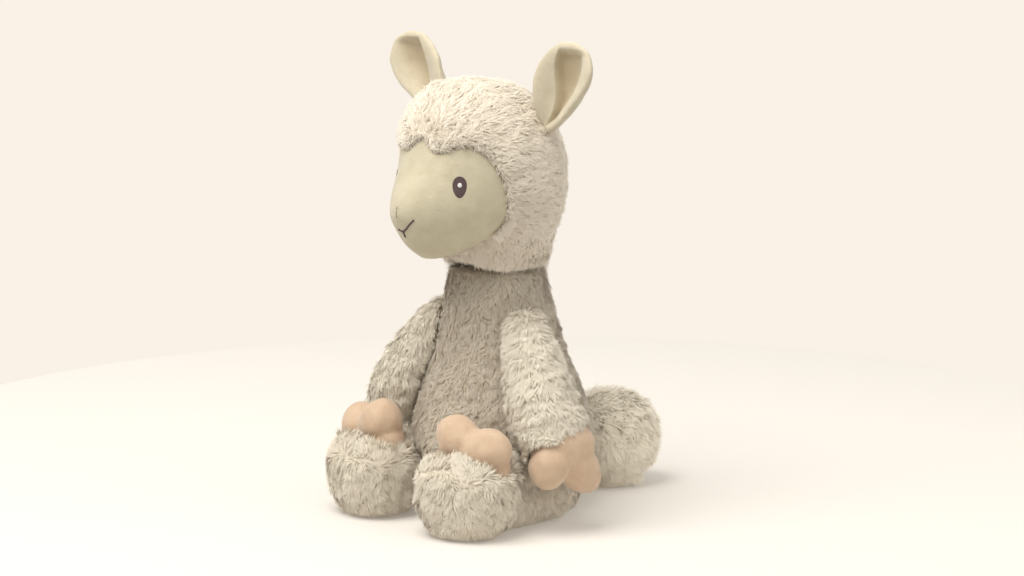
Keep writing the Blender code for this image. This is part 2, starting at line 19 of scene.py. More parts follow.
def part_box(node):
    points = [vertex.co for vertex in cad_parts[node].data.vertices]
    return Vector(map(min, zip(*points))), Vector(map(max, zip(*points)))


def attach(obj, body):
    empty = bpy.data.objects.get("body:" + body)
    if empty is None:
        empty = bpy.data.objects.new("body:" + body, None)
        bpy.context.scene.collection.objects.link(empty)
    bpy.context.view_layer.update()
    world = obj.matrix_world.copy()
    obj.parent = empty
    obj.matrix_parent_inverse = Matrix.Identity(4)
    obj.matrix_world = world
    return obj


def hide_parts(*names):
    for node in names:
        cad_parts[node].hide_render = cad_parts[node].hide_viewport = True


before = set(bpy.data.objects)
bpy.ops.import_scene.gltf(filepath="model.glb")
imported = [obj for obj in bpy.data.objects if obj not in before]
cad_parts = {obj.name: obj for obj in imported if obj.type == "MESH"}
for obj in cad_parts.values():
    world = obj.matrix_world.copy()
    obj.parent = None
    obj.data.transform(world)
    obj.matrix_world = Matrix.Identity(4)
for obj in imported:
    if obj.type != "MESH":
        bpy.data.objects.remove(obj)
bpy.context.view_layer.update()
print("The frame holds", len(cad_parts), "solids")

# %% [markdown]
# ## Camera
#
# The photo was taken with a long lens, a little above the toy's head and well round to its left side. A
# camera is easiest to aim when it is given the point it looks at, its turn round that point, its
# height in degrees and its distance. No shift is needed.

# %% Aim the camera
CAMERA_AIM = Vector((-0.00866, 0.01506, 0.14929))
CAMERA_TURN = math.radians(47)
CAMERA_RISE = math.radians(8.793)
CAMERA_DISTANCE = 1.963
CAMERA_LENS = 100
SENSOR_WIDTH = 36

bpy.ops.object.select_all(action="DESELECT")
bpy.ops.object.camera_add(rotation=(math.pi / 2 - CAMERA_RISE, 0, CAMERA_TURN))
camera = bpy.context.object
camera.name = "camera"
bpy.context.view_layer.update()
camera.location = CAMERA_AIM + camera.matrix_world.to_quaternion() @ Vector((0, 0, CAMERA_DISTANCE))
camera.data.lens = CAMERA_LENS
camera.data.sensor_width = SENSOR_WIDTH
bpy.context.scene.camera = camera
print("Camera at", [round(part, 3) for part in camera.location])

# %% [markdown]
# ## Shader sums
#
# Cloth needs a lot of small mixing, which is hard to follow as boxes and wires. A small class wraps a
# socket, so that a sum in Python adds the Math nodes for it, and one method adds any other node.


# %% A socket that can be used in sums
class Wire:
    """The output of a node, which can be added and multiplied like a number."""

    def __init__(self, cloth, socket):
        self.cloth = cloth
        self.socket = socket

    def math(self, operation, first, second):
        """Add a Math node."""
        return self.cloth.node("ShaderNodeMath", {"operation": operation}, {0: first, 1: second})

    def __add__(self, other):
        return self.math("ADD", self, other)

    def __radd__(self, other):
        return self.math("ADD", other, self)

    def __mul__(self, other):
        return self.math("MULTIPLY", self, other)

    def __rmul__(self, other):
        return self.math("MULTIPLY", other, self)


# %% A material being made
class Cloth:
    """A material with one Principled shader, and the methods that add nodes to it."""

    def __init__(self, name, **sockets):
        self.material = bpy.data.materials.new(name)
        self.material.use_nodes = True
        self.tree = self.material.node_tree
        self.shader = self.tree.nodes["Principled BSDF"]
        for socket, value in sockets.items():
            self.shader.inputs[socket.replace("_", " ")].default_value = value

    def node(self, kind, settings, values, output=0):
        """Add a node: its settings first, then the values or links of its sockets."""
        node = self.tree.nodes.new(kind)
        for name, value in settings.items():
            setattr(node, name, value)
        for name, value in values.items():
            self.plug(node.inputs[name], value)
        return Wire(self, node.outputs[output])

    def plug(self, socket, value):
        """Give a socket a link, a colour or a number."""
        if isinstance(value, Wire):
            self.tree.links.new(value.socket, socket)
        elif hasattr(value, "__len__") and len(value) == 3 and socket.type == "RGBA":
            socket.default_value = (*value, 1)
        else:
            socket.default_value = value

    def set(self, name, value):
        """Give a socket of the Principled shader a link, a colour or a number."""
        self.plug(self.shader.inputs[name], value)

    def place(self):
        """Where a point lies on the piece: its Object coordinates."""
        return self.node("ShaderNodeTexCoord", {}, {}, "Object")

    def noise(self, vector, size, detail=2, roughness=0.5):
        """Cloudy noise from 0 to 1, with spots about as wide as size, in metres."""
        values = {"Vector": vector, "Scale": 1 / size, "Detail": detail, "Roughness": roughness}
        return self.node("ShaderNodeTexNoise", {}, values)

    def spread(self, value, low, high):
        """Stretch a value so that low becomes 0 and high becomes 1, and cut it off there."""
        values = {"Value": value, "From Min": low, "From Max": high}
        return self.node("ShaderNodeMapRange", {"interpolation_type": "SMOOTHSTEP"}, values)

    def mix(self, share, first, second, blend="MIX"):
        """A colour between two others."""
        values = {"Factor": share, 6: first, 7: second}
        return self.node("ShaderNodeMix", {"data_type": "RGBA", "blend_type": blend}, values, 2)

    def bump(self, height, depth):
        """Raise the surface by up to depth, in metres, for the light only."""
        values = {"Height": height, "Distance": depth, "Strength": 1.0}
        self.set("Normal", self.node("ShaderNodeBump", {}, values))


# %% [markdown]
# ## Colours
#
# All the cloths are pale and warm, and written in linear values. The fur is a polyester pile, nearly
# white at its tips. What darkens it is the depth between the tips, and the roots are painted only a
# little darker, as painted shade of that depth. The body's pile is darker and greyer than the hood's and
# the limbs', partly as painted shade from the head and the arms above it. The tail's pile is near white,
# painted light that lifts the tail out of the shade it sits in.

# %% Cloth colours
# Each ROOT colour is a little darker and warmer than its TIP: painted shade of the depth of the pile.
HOOD_TIP = (0.88, 0.81, 0.71)
HOOD_ROOT = (0.85, 0.76, 0.63)
ARM_TIP = (0.835, 0.78, 0.68)
ARM_ROOT = (0.805, 0.735, 0.615)
LEG_TIP = (0.79, 0.73, 0.63)
LEG_ROOT = (0.76, 0.69, 0.57)
# The tail's near-white pile is painted light, lifting the tail out of the shade it sits in.
TAIL_TIP = (0.985, 0.93, 0.82)
TAIL_ROOT = (0.97, 0.90, 0.77)
# The body's darker, greyer pile is partly painted shade from the head and the arms above it.
BODY_TIP = (0.645, 0.58, 0.49)
BODY_ROOT = (0.585, 0.505, 0.40)
VELOUR = (0.63, 0.57, 0.435)
VELOUR_SHADE = (0.53, 0.475, 0.34)
EAR = (0.70, 0.63, 0.49)
EAR_SHADE = (0.60, 0.535, 0.40)
# Painted shade, multiplied into the velour in the hollow of the ear's bowl.
EAR_BOWL_SHADE = (0.93, 0.87, 0.80)
HOOF = (0.65, 0.495, 0.36)
HOOF_SHADE = (0.56, 0.40, 0.28)
DARK_THREAD = (0.055, 0.026, 0.030)
WHITE_THREAD = (0.86, 0.83, 0.80)
NOSE_THREAD = (0.36, 0.29, 0.19)
SEAM_THREAD = (0.62, 0.54, 0.38)

# %% [markdown]
# ## Fur
#
# Fur cloth is a knitted backing with a pile of fine fibres. Noise over space could colour it, but a blade
# is thinner than any spot of noise. So every blade carries a small map: across it a tone of its own, and
# up it the way from root to tip. The colour is mixed from those two alone, darker and warmer at the root
# as painted shade of the depth of the pile, and so it can be baked. The backing, in the root's colour,
# shows only where the pile parts.


# %% Fur pile and its backing
TIP_SHARE = 0.8
DARK_TUFT = (0.94, 0.93, 0.91)
LIGHT_TUFT = (1.01, 1.01, 1.01)
KNIT = 0.002


def fur_cloth(name, root, tip):
    """The cloth of a blade, which reads its small map."""
    cloth = Cloth(name, Roughness=0.8, Sheen_Weight=0.2, Sheen_Roughness=0.5, Specular_IOR_Level=0.15)
    blade = cloth.node("ShaderNodeUVMap", {"uv_map": "OFBake"}, {})
    tone = cloth.node("ShaderNodeSeparateXYZ", {}, {0: blade})
    along = Wire(cloth, tone.socket.node.outputs[1])
    # Darker and warmer toward the root: painted shade of the depth of the pile.
    colour = cloth.mix(cloth.spread(along, 0.0, TIP_SHARE), root, tip)
    shade = cloth.mix(tone, DARK_TUFT, LIGHT_TUFT)
    cloth.set("Base Color", cloth.mix(1.0, colour, shade, "MULTIPLY"))
    return cloth.material


def backing_cloth(name, root):
    """The knit that the pile stands on."""
    cloth = Cloth(name, Roughness=0.95)
    place = cloth.place()
    spots = cloth.spread(cloth.noise(place, 2 * KNIT, 3), 0.35, 0.65)
    # The knit takes the root colour, with its painted shade.
    cloth.set("Base Color", cloth.mix(spots, tuple(0.88 * part for part in root), root))
    cloth.bump(cloth.noise(place, KNIT, 3), KNIT / 2)
    return cloth.material


hood_fur = fur_cloth("hood_fur", HOOD_ROOT, HOOD_TIP)
arm_fur = fur_cloth("arm_fur", ARM_ROOT, ARM_TIP)
leg_fur = fur_cloth("leg_fur", LEG_ROOT, LEG_TIP)
tail_fur = fur_cloth("tail_fur", TAIL_ROOT, TAIL_TIP)
body_fur = fur_cloth("body_fur", BODY_ROOT, BODY_TIP)
hood_backing = backing_cloth("hood_backing", HOOD_ROOT)
limb_backing = backing_cloth("limb_backing", LEG_ROOT)
body_backing = backing_cloth("body_backing", BODY_ROOT)
print("a fur cloth has", len(hood_fur.node_tree.nodes), "nodes")

# %% [markdown]
# ## Velour
#
# Velour is a knit with a pile far too short to model. Near by it shows a fine grain, brushed clouds where
# the pile leans another way, and a faint bloom at its edges, which the shader's sheen gives. The ears'
# bowls are a little darker and warmer: painted shade in the hollow, given by an attribute of the ear and
# not by a place in space.


# %% Smooth velour
GRAIN = 0.0009
FIBRE = 0.0012
FIBRE_STRETCH = (1.0, 1.0, 3.0)


def velour_cloth(name, colour, shade, brushed=0.012, bowl_shade=None):
    """Velour with clouds about as wide as brushed, and the painted shade bowl_shade multiplied in where
    the bowl attribute is 1.
    """
    cloth = Cloth(name, Roughness=0.9, Sheen_Weight=0.35, Sheen_Roughness=0.4, Specular_IOR_Level=0.15)
    place = cloth.place()
    leaning = cloth.spread(cloth.noise(place, brushed, 4, 0.6), 0.30, 0.72)
    grain = cloth.noise(place, GRAIN, 2, 0.7)
    pile = cloth.mix(leaning * 0.6 + grain * 0.4, shade, colour)
    if bowl_shade:
        bowl = cloth.node("ShaderNodeAttribute", {"attribute_name": "bowl"}, {}, "Fac")
        # Painted shade: the ear's bowl is darkened and warmed.
        pile = cloth.mix(bowl, pile, bowl_shade, "MULTIPLY")
    cloth.set("Base Color", pile)
    stretched = cloth.node("ShaderNodeMapping", {}, {"Vector": place, "Scale": FIBRE_STRETCH})
    fibres = cloth.noise(stretched, FIBRE, 3, 0.7)
    cloth.bump(fibres * 0.7 + leaning * 0.5, 0.0005)
    return cloth.material


face_velour = velour_cloth("velour", VELOUR, VELOUR_SHADE)
ear_velour = velour_cloth("ear_velour", EAR, EAR_SHADE, bowl_shade=EAR_BOWL_SHADE)
hoof_velour = velour_cloth("hoof_velour", HOOF, HOOF_SHADE, 0.009)
print("a velour has", len(face_velour.node_tree.nodes), "nodes")

# %% [markdown]
# ## Thread
#
# The eyes are satin stitch: bright thread laid side by side. The mouth, the nose and the seam are single
# stitches of twisted thread. Modelled threads would cost too many triangles at this size, so the ridges
# come from a wave pattern, which feeds the bump and a painted highlight that lightens the colour on each
# ridge.


# %% Embroidery thread
BAND_RATIO = 3.2


def thread_cloth(name, colour, roughness, thickness):
    """Thread with ridges one thickness apart: a wave texture repeats every 0.314 / Scale."""
    cloth = Cloth(name, Roughness=roughness, Sheen_Weight=0.1)
    place = cloth.place()
    values = {"Vector": place, "Scale": 1 / (BAND_RATIO * thickness), "Distortion": 1.0}
    ridges = cloth.node("ShaderNodeTexWave", {"wave_type": "BANDS", "bands_direction": "Z"}, values, 1)
    # Painted highlight: the colour is lightened on each ridge.
    ridge_highlight = tuple(min(1, part * 1.5 + 0.01) for part in colour)
    cloth.set("Base Color", cloth.mix(ridges, colour, ridge_highlight))
    cloth.bump(ridges, thickness / 2)
    return cloth.material


dark_thread = thread_cloth("dark_thread", DARK_THREAD, 0.42, 0.00045)
white_thread = thread_cloth("white_thread", WHITE_THREAD, 0.5, 0.00045)
nose_thread = thread_cloth("nose_thread", NOSE_THREAD, 0.8, 0.0004)
seam_thread = thread_cloth("seam_thread", SEAM_THREAD, 0.8, 0.0004)
print("a thread has", len(dark_thread.node_tree.nodes), "nodes")

# %% [markdown]
# ## From a solid to a stuffed skin
#
# The frame's solids are faceted and meet in sharp cuts. A stuffed skin has neither. Subdividing the solid
# would keep its cuts, so a copy of it is rebuilt from small even cells by a voxel remesh, smoothed until
# its facets are gone, and sunk by the height of the pile that will grow on it. Where it presses on the
# floor it sinks less.


# %% Helpers for rows of points
def unit(rows):
    """Each row at length 1."""
    return rows / np.maximum(np.linalg.norm(rows, axis=1, keepdims=True), 1e-9)


def dot(first, second):
    """The dot product of each pair of rows, as a column."""
    return np.sum(first * second, axis=1, keepdims=True)


def turned(rows, axes, angles):
    """Turn each row round its own axis."""
    cos, sin = np.cos(angles)[:, None], np.sin(angles)[:, None]
    return rows * cos + np.cross(axes, rows) * sin + axes * dot(axes, rows) * (1 - cos)


WAVES = 14
WAVES_HEIGHT = 4.5


def clouds(places, size, seed):
    """Smooth hills and hollows over space, about -1 to 1, from a few waves in all directions."""
    draw = np.random.default_rng(seed)
    ways = unit(draw.normal(size=(WAVES, 3))) / size * draw.uniform(0.6, 1.6, (WAVES, 1))
    starts = draw.uniform(0, 2 * math.pi, WAVES)
    return np.sin(places @ ways.T * 2 * math.pi + starts).sum(axis=1) / WAVES_HEIGHT


def tree_of(points):
    """A search tree, which finds the nearest of many points fast."""
    tree = KDTree(len(points))
    for number, point in enumerate(points):
        tree.insert(point, number)
    tree.balance()
    return tree


# %% Make a skin
FLOOR_CLEAR = 0.0004
FLOOR_REACH = 0.012
HILL_SIZE = 0.010


def select_only(thing):
    """Deselect all, and make one thing the active one."""
    bpy.ops.object.select_all(action="DESELECT")
    thing.select_set(True)
    bpy.context.view_layer.objects.active = thing


def apply_modifier(thing, kind, **settings):
    """Add a modifier, set it and apply it."""
    select_only(thing)
    step = thing.modifiers.new(kind.lower(), kind)
    for name, value in settings.items():
        setattr(step, name, value)
    bpy.ops.object.modifier_apply(modifier=step.name)


def copy_of(node, name):
    """A merged copy of a solid of the frame, free of its body."""
    thing = bpy.data.objects.new(name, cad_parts[node].data.copy())
    bpy.context.scene.collection.objects.link(thing)
    select_only(thing)
    bpy.ops.object.mode_set(mode="EDIT")
    bpy.ops.mesh.select_all(action="SELECT")
    bpy.ops.mesh.remove_doubles(threshold=0.00002)
    bpy.ops.object.mode_set(mode="OBJECT")
    return thing


def points_of(thing):
    """The vertices and their normals, as rows of numbers."""
    mesh = thing.data
    places = np.zeros(len(mesh.vertices) * 3, np.float32)
    normals = np.zeros(len(mesh.vertices) * 3, np.float32)
    mesh.vertices.foreach_get("co", places)
    mesh.vertex_normals.foreach_get("vector", normals)
    return places.reshape(-1, 3).astype(float), normals.reshape(-1, 3).astype(float)


def move_points(thing, places):
    """Put the vertices at these places."""
    thing.data.vertices.foreach_set("co", places.astype(np.float32).ravel())
    thing.data.update()


def smoothstep(low, high, value):
    """A soft step from 0 at low to 1 at high, which may be the smaller one."""
    share = np.clip((value - low) / (high - low), 0, 1)
    return share * share * (3 - 2 * share)


def make_skin(node, name, cell, smoothing, sink=0.0):
    """A smooth skin in the place of a solid of the frame."""
    thing = copy_of(node, name)
    apply_modifier(thing, "REMESH", mode="VOXEL", voxel_size=cell, adaptivity=0)
    apply_modifier(thing, "SMOOTH", factor=0.5, iterations=smoothing)
    places, normals = points_of(thing)
    depth = sink * smoothstep(0, FLOOR_REACH, places[:, 2])
    places -= normals * depth[:, None]
    places[:, 2] = np.maximum(places[:, 2], FLOOR_CLEAR)
    move_points(thing, places)
    thing.data.shade_smooth()
    return thing


def soften(thing, height, seed, grain=(1, 1, 1)):
    """Give a skin the soft hills and hollows of its tufts."""
    places, normals = points_of(thing)
    squeezed = places * np.array(grain)
    relief = 0.6 * clouds(squeezed, HILL_SIZE, seed) + 0.4 * clouds(squeezed, HILL_SIZE / 2, seed + 1)
    relief *= smoothstep(0, FLOOR_REACH, places[:, 2])
    move_points(thing, places + normals * (height * relief)[:, None])


def dress(thing, node, material):
    """Give a finished piece its cloth, and hide the solid it stands for."""
    thing.data.materials.clear()
    thing.data.materials.append(material)
    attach(thing, "root")
    if node:
        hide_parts(node)


# %% [markdown]
# ## Growing the pile
#
# Hair curves would look well but can't be exported, so each blade of pile is a narrow diamond of two
# triangles, bent at its middle. Blades are scattered evenly over the skin, lie the way the fur is
# brushed, and lean together in tufts, while a few stray ones stand up. They take their shading from the
# skin below, so that the coat looks soft. All blades are worked out at once, as columns of numbers, from
# a fixed seed.


# %% Scatter the roots
def scatter(skin, count, keep, seed):
    """Roots spread evenly over a skin, and its normal at each. keep(places, normals) thins them out."""
    draw = np.random.default_rng(seed)
    places, normals = points_of(skin)
    mesh = skin.data
    mesh.calc_loop_triangles()
    corners = np.zeros(len(mesh.loop_triangles) * 3, np.int32)
    mesh.loop_triangles.foreach_get("vertices", corners)
    corners = corners.reshape(-1, 3)
    one, two, three = places[corners[:, 0]], places[corners[:, 1]], places[corners[:, 2]]
    area = np.linalg.norm(np.cross(two - one, three - one), axis=1) / 2
    area *= keep((one + two + three) / 3, unit(normals[corners].sum(axis=1)))
    reach = np.cumsum(area)
    face = np.searchsorted(reach, draw.random(count) * reach[-1])
    near, far = draw.random(count), draw.random(count)
    flip = near + far > 1
    near[flip], far[flip] = 1 - near[flip], 1 - far[flip]
    shares = np.stack([1 - near - far, near, far], axis=1)[:, :, None]
    roots = (places[corners[face]] * shares).sum(axis=1)
    return roots, unit((normals[corners[face]] * shares).sum(axis=1))


def tufts_of(places, each, draw):
    """For each blade, the number of the blade that leads its tuft."""
    leaders = draw.choice(len(places), max(1, len(places) // each), replace=False)
    tree = tree_of(places[leaders])
    return leaders[[tree.find(place)[1] for place in places]]


# %% Grow the pile
BLADE_WIDTH = 0.00026
TUFT_SIZE = 0.009
SWAY_SIZE = 0.03
TONE_SIZE = 0.020
LOOSENESS = 0.30
WAVER = 3
STRAY_SHARE = 0.025
STRAY_LIFT = 16
SKYWARD = np.array([0, 0, 0.15])
SHADING_NOISE = 0.05


def grow(name, roots, normals, flow, length, lift, seed, grain=(1, 1, 1), each=24, pull=0.06, ruffle=20):
    """Pile from its roots. flow is the way it is brushed, and lift its two angles off the skin in degrees,
    at the root and at the tip. grain squeezes space along the flow, so that tufts come out long that way.
    each is the number of blades in a tuft, pull how far its tips close up, and ruffle how far it turns."""
    draw = np.random.default_rng(seed)
    count = len(roots)
    squeezed = roots * np.array(grain)
    leader = tufts_of(squeezed, each, draw)
    flow = unit(flow - normals * dot(flow, normals))
    sway = (draw.normal(size=count)[leader] + clouds(roots, SWAY_SIZE, seed + 1)) * np.radians(ruffle)
    flow = turned(flow, normals, sway + draw.normal(0, LOOSENESS, count))
    long = length * draw.uniform(0.75, 1.2, count) * (1 + 0.10 * clouds(squeezed, TUFT_SIZE, seed + 2))
    waver = draw.normal(0, WAVER, count) + 4 * clouds(squeezed, TUFT_SIZE, seed + 3)
    waver += STRAY_LIFT * (draw.random(count) < STRAY_SHARE)
    places = [roots]
    for angle in lift:
        rise = np.radians(angle + waver)[:, None]
        places.append(places[-1] + (normals * np.sin(rise) + flow * np.cos(rise)) * long[:, None] / 2)
    tips = places[2] + (places[2][leader] - places[2]) * (pull * draw.uniform(0.5, 1.3, count))[:, None]
    middles = places[1] + (tips - places[2]) / 3
    width = BLADE_WIDTH * draw.uniform(0.7, 1.3, count)
    side = unit(np.cross(tips - roots, normals) + 1e-6) * width[:, None]
    places = np.stack([roots, middles + side, middles - side, tips], axis=1)
    places[:, :, 2] = np.maximum(places[:, :, 2], FLOOR_CLEAR)
    tone = 0.5 + 0.18 * clouds(roots, TONE_SIZE, seed + 4) + 0.10 * draw.normal(size=count)[leader]
    pile = blades(name, places, np.clip(tone + 0.10 * draw.normal(size=count), 0.02, 0.98))
    shading = unit(normals + SKYWARD + draw.normal(0, SHADING_NOISE, (count, 3)))
    pile.data.normals_split_custom_set_from_vertices(np.repeat(shading, 4, axis=0))
    print(name, count, "blades")
    return pile


def blades(name, places, tone):
    """Turn rows of four points, a root, two sides and a tip, into blades with their small maps."""
    count = len(places)
    start = np.arange(count, dtype=np.int32)[:, None]
    loops = (start * 4 + np.array([0, 1, 2, 3, 2, 1], np.int32)).ravel()
    mesh = bpy.data.meshes.new(name)
    mesh.vertices.add(count * 4)
    mesh.vertices.foreach_set("co", places.astype(np.float32).ravel())
    mesh.loops.add(len(loops))
    mesh.loops.foreach_set("vertex_index", loops)
    mesh.polygons.add(count * 2)
    mesh.polygons.foreach_set("loop_start", (start * 6 + np.array([0, 3], np.int32)).ravel())
    uv = np.zeros((count, 6, 2))
    uv[:, :, 0] = tone[:, None] + np.array([0, 0.004, -0.004, 0, -0.004, 0.004])
    uv[:, :, 1] = np.array([0.02, 0.5, 0.5, 0.98, 0.5, 0.5])
    mesh.uv_layers.new(name="OFBake").data.foreach_set("uv", uv.astype(np.float32).ravel())
    mesh.update(calc_edges=True)
    mesh.validate()
    mesh.shade_smooth()
    pile = bpy.data.objects.new(name, mesh)
    bpy.context.scene.collection.objects.link(pile)
    return pile


# %% [markdown]
# ## Face
#
# The face is one panel of velour over a stuffed muzzle, let into the hood. It comes first, because the
# fur starts at its edge. It could be sculpted from a sphere, but its solid already has the right bulge,
# so that gets a skin with the finest cells. The stitches of the mouth and the eyes draw the velour in a
# little, so it is pressed down round them.

# %% The face
EYE_DIMPLE = 0.0009
EYE_DIMPLE_REACH = 0.010
MOUTH_DIMPLE = 0.0012
MOUTH_DIMPLE_REACH = 0.008
CHIN_SWELL = 0.0015
CHIN_REACH = 0.016
CHIN_FROM_MOUTH = np.array([0, 0.008, -0.014])


def middle_of(node):
    """The middle of a solid's box."""
    low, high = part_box(node)
    return (np.array(low) + np.array(high)) / 2


def swell(thing, middle, reach, height):
    """Push the skin out, or in where height is negative, in a soft round spot."""
    places, normals = points_of(thing)
    share = np.linalg.norm(places - middle, axis=1) / reach
    places += normals * (height * np.exp(-share * share))[:, None]
    move_points(thing, places)


face = make_skin("face", "face_panel", 0.0015, 14)
swell(face, middle_of("mouth") + CHIN_FROM_MOUTH, CHIN_REACH, CHIN_SWELL)
swell(face, middle_of("left_eye"), EYE_DIMPLE_REACH, -EYE_DIMPLE)
swell(face, middle_of("right_eye"), EYE_DIMPLE_REACH, -EYE_DIMPLE)
swell(face, middle_of("mouth"), MOUTH_DIMPLE_REACH, -MOUTH_DIMPLE)
dress(face, "face", face_velour)
print("face", len(face.data.polygons), "faces")

# %% [markdown]
# ## The seam round the face
#
# The solid of the face has a sharp edge all round its front, just where the real panel is sewn to the
# hood. A hand-drawn curve would never follow it as well, so those edges are lifted out, spaced evenly and
# smoothed. The seam's own directions, along it, out of the head and away from the face, place the
# stitches and the first rows of pile.

# %% Find the seam
HEAD_MIDDLE = np.array([0.0, -0.022, 0.230])
SEAM_FOLD = math.radians(45)
SEAM_STEP = 0.0008
SEAM_SMOOTHING = 4


def seam_points():
    """The sharp front edge of the face's solid, as an even closed row of points."""
    solid = copy_of("face", "seam_solid")
    bpy.ops.object.mode_set(mode="EDIT")
    bpy.ops.mesh.select_mode(type="EDGE")
    bpy.ops.mesh.select_all(action="DESELECT")
    bpy.ops.mesh.edges_select_sharp(sharpness=SEAM_FOLD)
    bpy.ops.mesh.duplicate()
    bpy.ops.mesh.separate(type="SELECTED")
    bpy.ops.object.mode_set(mode="OBJECT")
    edges = next(thing for thing in bpy.context.selected_objects if thing != solid)
    select_only(edges)
    bpy.ops.object.convert(target="CURVE")
    front = max(edges.data.splines, key=lambda spline: len(spline.points))
    loop = np.array([point.co[:3] for point in front.points])
    for thing in (edges, solid):
        bpy.data.objects.remove(thing)
    loop = np.vstack([loop, loop[:1]])
    reach = np.concatenate([[0], np.cumsum(np.linalg.norm(np.diff(loop, axis=0), axis=1))])
    marks = np.linspace(0, reach[-1], int(reach[-1] / SEAM_STEP), endpoint=False)
    even = np.stack([np.interp(marks, reach, column) for column in loop.T], axis=1)
    for _ in range(SEAM_SMOOTHING):
        even = (np.roll(even, 1, axis=0) + 2 * even + np.roll(even, -1, axis=0)) / 4
    return even


seam = seam_points()
seam_run = unit(np.roll(seam, -1, axis=0) - np.roll(seam, 1, axis=0))
seam_out = unit(seam - HEAD_MIDDLE)
seam_away = unit(np.cross(seam_run, seam_out))
seam_away *= np.sign(dot(seam_away, seam - seam.mean(axis=0)))
seam_tree = tree_of(seam)
print("seam of", round(len(seam) * SEAM_STEP * 1000), "mm")


def from_seam(places):
    """How far each place is from the seam."""
    return np.array([seam_tree.find(place)[2] for place in places])


ALLOWANCE = 0.0022
ALLOWANCE_REACH = 0.010


def tuck_under(thing):
    """Widen the velour just under the seam, as a seam allowance does, so that no slit shows."""
    places, _ = points_of(thing)
    nearest = np.array([seam_tree.find(place)[1] for place in places])
    apart = places - seam[nearest]
    under = smoothstep(-0.0005, -0.003, dot(apart, seam_out[nearest]))
    close = smoothstep(ALLOWANCE_REACH, ALLOWANCE_REACH / 2, np.linalg.norm(apart, axis=1))[:, None]
    move_points(thing, places + seam_away[nearest] * under * close * ALLOWANCE)


tuck_under(face)

# %% [markdown]
# ## Hood
#
# The hood is fur cloth with a window that the face is sewn into. Its skin sinks under its pile, and
# beside the seam straight toward the head's middle, so that its edge comes down to the velour. Under the
# chin it is lifted up inside the velour. The pile is brushed back from the face, and down behind and
# below. No modifier would make the skin's edge soft, so a fringe of shorter, steeper blades grows out of
# the seam itself, wherever the skin lies close under it.

# %% The hood's skin
HOOD_SINK = 0.0028
EDGE_SINK = 0.0036
CHIN_RISE = 0.010
HOOD_RELIEF = 0.0006
SEAM_REACH = 0.014
LIMB_CELL = 0.0022


def chin_share(places):
    """How far each place lies on the underside of the hood, between the chin and the neck."""
    x, y, z = places.T
    return smoothstep(0.040, 0.020, abs(x)) * smoothstep(-0.030, -0.050, y) * smoothstep(0.210, 0.195, z)


hood = make_skin("head", "hood", LIMB_CELL, 9)
places, normals = points_of(hood)
outward = unit(places - HEAD_MIDDLE)
near = smoothstep(SEAM_REACH, SEAM_REACH / 2, from_seam(places))[:, None]
outside = smoothstep(0.0, 0.3, dot(outward, normals))
depth = HOOD_SINK - near * (HOOD_SINK - EDGE_SINK)
places -= (outward * near + normals * (1 - near) * outside) * depth
places[:, 2] += CHIN_RISE * chin_share(places)
move_points(hood, places)
soften(hood, HOOD_RELIEF, 14, (1, 0.6, 1))
dress(hood, "head", hood_backing)
print("hood", len(hood.data.polygons), "faces")


# %% Where the hood's pile grows and which way
def on_hood(places, normals):
    """Pile grows on the outside of the hood, and not behind the face or under the hem. Below the face the
    skin turns in toward the neck, and pile grows there too."""
    below_face = smoothstep(0.03, 0.0, places[:, 1]) * smoothstep(0.235, 0.215, places[:, 2])
    outside = dot(unit(places - HEAD_MIDDLE), normals)[:, 0] > 0.25 - 0.35 * below_face
    return outside * (normals[:, 2] > -0.95) * 1.0


def hood_flow(places):
    """The hood is brushed back over the crown and the cheeks, and down at its back and its hem."""
    _, y, z = (places - HEAD_MIDDLE).T
    down = np.maximum(smoothstep(-0.022, -0.050, z), smoothstep(0.030, 0.060, y))[:, None]
    return (1 - down) * [0, 1, -0.1] + down * [0, 0.1, -1.0]


# %% The hood's pile
HOOD_BLADES = 80000
HOOD_PILE = 0.0066
HOOD_LIFT = (21, 5)
HEM_PILE = 0.004
SEAM_LIFT = (28, 16)
SEAM_TRIM = 0.0015
CHIN_TRIM = 0.0025
FRINGE_BLADES = 9000
FRINGE_START = -0.0012
FRINGE_REACH = 0.004
FRINGE_RISE = 0.0005
FRINGE_GAP = 0.0058

roots, normals = scatter(hood, HOOD_BLADES, on_hood, 11)
draw = np.random.default_rng(12)
hood_tree = tree_of([vertex.co for vertex in hood.data.vertices])
gaps = np.array([hood_tree.find(point)[2] for point in seam])
open_seam = np.flatnonzero((gaps < FRINGE_GAP) * (chin_share(seam) < 0.3))
print("fringe along", round(100 * len(open_seam) / len(seam)), "% of the seam")
pick = open_seam[draw.integers(0, len(open_seam), FRINGE_BLADES)]
step = draw.uniform(FRINGE_START, FRINGE_REACH, FRINGE_BLADES)[:, None]
slide = draw.uniform(-0.5, 0.5, (FRINGE_BLADES, 1)) * SEAM_STEP
fringe = seam[pick] + seam_away[pick] * step + seam_run[pick] * slide
roots = np.vstack([roots, fringe + seam_out[pick] * FRINGE_RISE])
normals = np.vstack([normals, unit(seam_out[pick] + 0.3 * seam_away[pick])])
flow = hood_flow(roots)
beside = smoothstep(0.013, 0.003, from_seam(roots))
under_chin = chin_share(roots)
hem = smoothstep(0.196, 0.180, roots[:, 2]) * (1 - under_chin)
stand = 1 - 0.2 * under_chin
lift = [(low + more * beside) * stand for low, more in zip(HOOD_LIFT, SEAM_LIFT)]
length = HOOD_PILE + HEM_PILE * hem - SEAM_TRIM * beside - CHIN_TRIM * under_chin
hood_pile = grow("hood_pile", roots, normals, flow, length, lift, 13, (1, 0.45, 1), ruffle=18)
dress(hood_pile, None, hood_fur)

